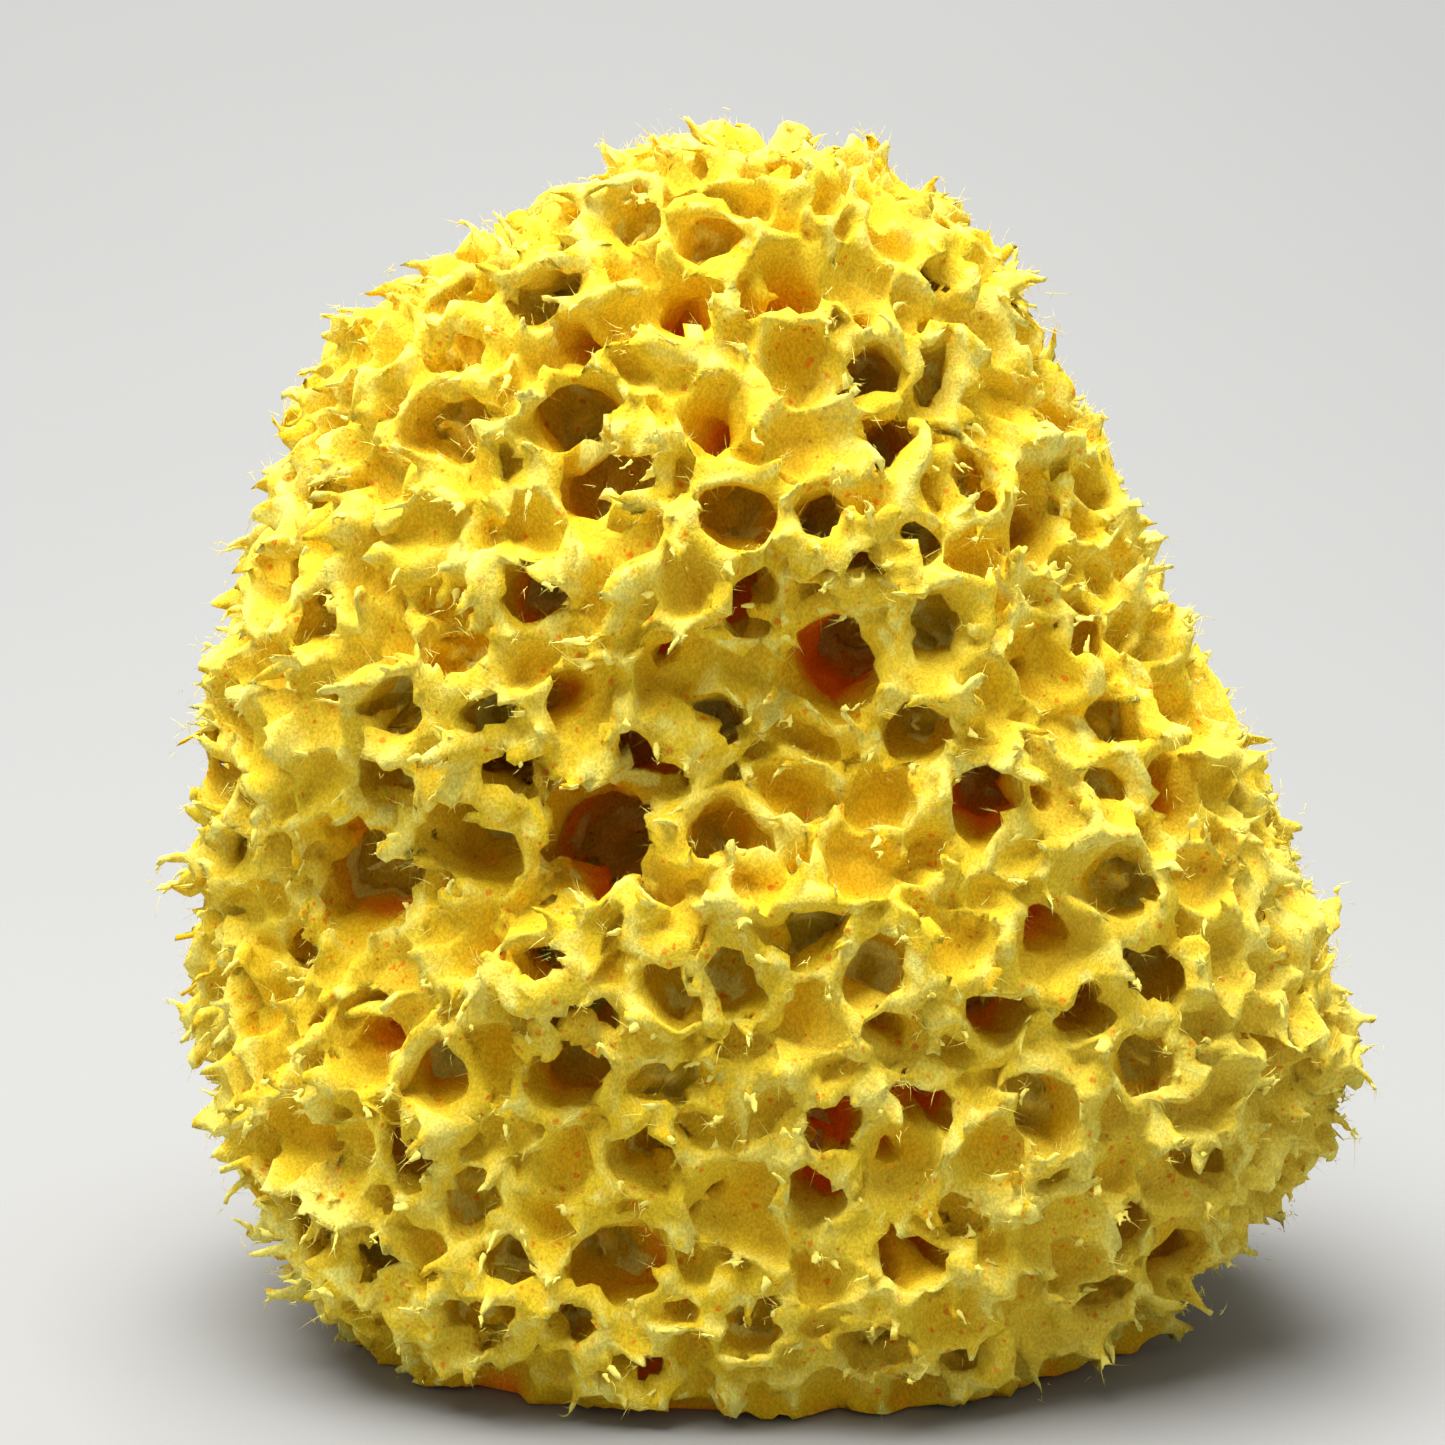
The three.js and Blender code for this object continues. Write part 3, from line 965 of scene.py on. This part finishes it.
def paper_sweep():
    """A pale floor that curves up into the backdrop."""
    reach, back, bend, rise = 1.8, 0.3, 1.2, 1.9
    angles = np.linspace(0.1, math.pi / 2, 14)
    path = [(-reach, -reach, 0), (-reach, back, 0)]
    path += [(-reach, back + bend * math.sin(a), bend - bend * math.cos(a)) for a in angles]
    path.append((-reach, back + bend, rise))
    shape = bmesh.new()
    corners = [shape.verts.new(p) for p in path]
    edges = [shape.edges.new(pair) for pair in zip(corners, corners[1:])]
    made = bmesh.ops.extrude_edge_only(shape, edges=edges)["geom"]
    far = [item for item in made if isinstance(item, bmesh.types.BMVert)]
    bmesh.ops.translate(shape, verts=far, vec=(2 * reach, 0, 0))
    bmesh.ops.recalc_face_normals(shape, faces=shape.faces[:])
    for face in shape.faces:
        face.smooth = True
    mesh = bpy.data.meshes.new("paper_sweep")
    shape.to_mesh(mesh)
    shape.free()
    return new_object("paper_sweep", mesh)


def paper_finish(look):
    """Matt paper with the faintest cloud in it."""
    material = bpy.data.materials.new("pale_paper")
    material.use_nodes = True
    tree = material.node_tree
    where = add_node(tree, "ShaderNodeTexCoord").outputs["Object"]
    cloud = noise_node(tree, where, 0.25, 2.0)
    colour = blend(tree, cloud, look.paper, [0.97 * part for part in look.paper])
    rough = step(tree, cloud, -2.0, 1.5)
    shader = tree.nodes["Principled BSDF"]
    feed(tree, shader, Base_Color=colour, Roughness=rough, Specular_IOR_Level=0.1)
    return material


def softbox(name, at, aim, size, watts):
    """A square white area lamp that faces a point."""
    data = bpy.data.lights.new(name, "AREA")
    data.energy = watts
    data.size = size
    lamp = bpy.data.objects.new(name, data)
    bpy.context.scene.collection.objects.link(lamp)
    lamp.location = at
    lamp.rotation_euler = (Vector(aim) - Vector(at)).to_track_quat("-Z", "Y").to_euler()


def set_stage(look):
    """Floor, lamps, dome and camera."""
    floor = paper_sweep()
    floor.data.materials.append(paper_finish(look))
    softbox("top_softbox", KEY_AT, KEY_AIM, KEY_SIZE, look.key_watts)
    softbox("back_wash", WASH_AT, WASH_AIM, WASH_SIZE, look.wash_watts)
    world = bpy.data.worlds.new("studio_dome")
    world.use_nodes = True
    background = world.node_tree.nodes["Background"]
    background.inputs["Color"].default_value = (1, 1, 1, 1)
    background.inputs["Strength"].default_value = look.dome
    bpy.context.scene.world = world
    camera = bpy.data.objects.new("camera", bpy.data.cameras.new("camera"))
    bpy.context.scene.collection.objects.link(camera)
    camera.data.lens = look.lens
    camera.location = CAMERA_AT
    aim = Vector(CAMERA_AIM) - camera.location
    camera.rotation_euler = aim.to_track_quat("-Z", "Y").to_euler()
    bpy.context.scene.camera = camera
    bpy.context.scene.view_settings.view_transform = "Standard"


# ---------------------------------------------------------------- operators


made = {}  # what one operator leaves for the next


def left_by(operator, key):
    """What an earlier operator left, or an error that says which one has to run first."""
    if key not in made:
        raise RuntimeError(f"run {operator} first: it makes the {key}")
    return made[key]


class SPONGE_OT_carve_body(Operator):
    """Carve the sponge's body out of its plain solid"""

    bl_idname = "sponge.carve_body"
    bl_label = "Carve body"

    def execute(self, context):
        body, fronds = carve_body(context.scene.sponge_shape)
        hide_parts(SOLID)
        finish(body, sponge_finish(context.scene.sponge_colours))
        made["body"], made["fronds"] = body, fronds
        return {"FINISHED"}


class SPONGE_OT_torn_fringe(Operator):
    """Fray the free edges of the body's flaps"""

    bl_idname = "sponge.torn_fringe"
    bl_label = "Torn fringe"

    def execute(self, context):
        colours = context.scene.sponge_colours
        fringe, made["ends"] = torn_fringe(left_by("Carve body", "fronds"), context.scene.sponge_shape)
        finish(fringe, fibre_finish("torn_felt", colours.skin, colours.crest, True, colours))
        return {"FINISHED"}


class SPONGE_OT_loose_threads(Operator):
    """Trail fine threads off the fringes"""

    bl_idname = "sponge.loose_threads"
    bl_label = "Loose threads"

    def execute(self, context):
        colours = context.scene.sponge_colours
        threads = loose_threads(left_by("Torn fringe", "ends"), context.scene.sponge_shape)
        finish(threads, fibre_finish("loose_fibre", colours.crest, colours.down, False, colours))
        return {"FINISHED"}


class SPONGE_OT_down(Operator):
    """Cover the body with short and long down"""

    bl_idname = "sponge.down"
    bl_label = "Down"

    def execute(self, context):
        look, colours = context.scene.sponge_shape, context.scene.sponge_colours
        body = left_by("Carve body", "body")
        fluff = fibre_finish("down_fibre", colours.skin, colours.down, False, colours)
        finish(down("fine_down", body, look.fibres, look.fine_down, 0.8, look, 4), fluff)
        finish(down("long_down", body, look.fibres, look.long_down, 1.1, look, 5), fluff)
        return {"FINISHED"}


class SPONGE_OT_stage(Operator):
    """Set up the paper floor, the lamps and the camera"""

    bl_idname = "sponge.stage"
    bl_label = "Stage"

    def execute(self, context):
        set_stage(context.scene.stage_look)
        return {"FINISHED"}


class SPONGE_PT_sidebar(Panel):
    """Settings and steps of the sponge"""

    bl_idname = "SPONGE_PT_sidebar"
    bl_label = "Honeycomb Sponge"
    bl_space_type = "VIEW_3D"
    bl_region_type = "UI"
    bl_category = "Sponge"

    def draw(self, context):
        scene = context.scene
        for settings in (scene.sponge_shape, scene.sponge_colours, scene.stage_look):
            box = self.layout.box()
            for key in settings.bl_rna.properties.keys():
                if key not in {"name", "rna_type"}:
                    box.prop(settings, key)
        for operator in STEPS:
            self.layout.operator(operator.bl_idname)


SETTINGS = (SpongeShape, SpongeColours, StageLook)
STEPS = (
    SPONGE_OT_carve_body,
    SPONGE_OT_torn_fringe,
    SPONGE_OT_loose_threads,
    SPONGE_OT_down,
    SPONGE_OT_stage,
)


def register():
    """Adds the settings, the operators and the panel."""
    for kind in (*SETTINGS, *STEPS, SPONGE_PT_sidebar):
        bpy.utils.register_class(kind)
    bpy.types.Scene.sponge_shape = PointerProperty(type=SpongeShape)
    bpy.types.Scene.sponge_colours = PointerProperty(type=SpongeColours)
    bpy.types.Scene.stage_look = PointerProperty(type=StageLook)


def unregister():
    """Takes them away again."""
    del bpy.types.Scene.stage_look
    del bpy.types.Scene.sponge_colours
    del bpy.types.Scene.sponge_shape
    for kind in reversed((*SETTINGS, *STEPS, SPONGE_PT_sidebar)):
        bpy.utils.unregister_class(kind)


def main():
    """Builds every piece and the stage."""
    register()
    bpy.ops.sponge.carve_body()
    bpy.ops.sponge.torn_fringe()
    bpy.ops.sponge.loose_threads()
    bpy.ops.sponge.down()
    bpy.ops.sponge.stage()


if __name__ == "__main__":
    main()
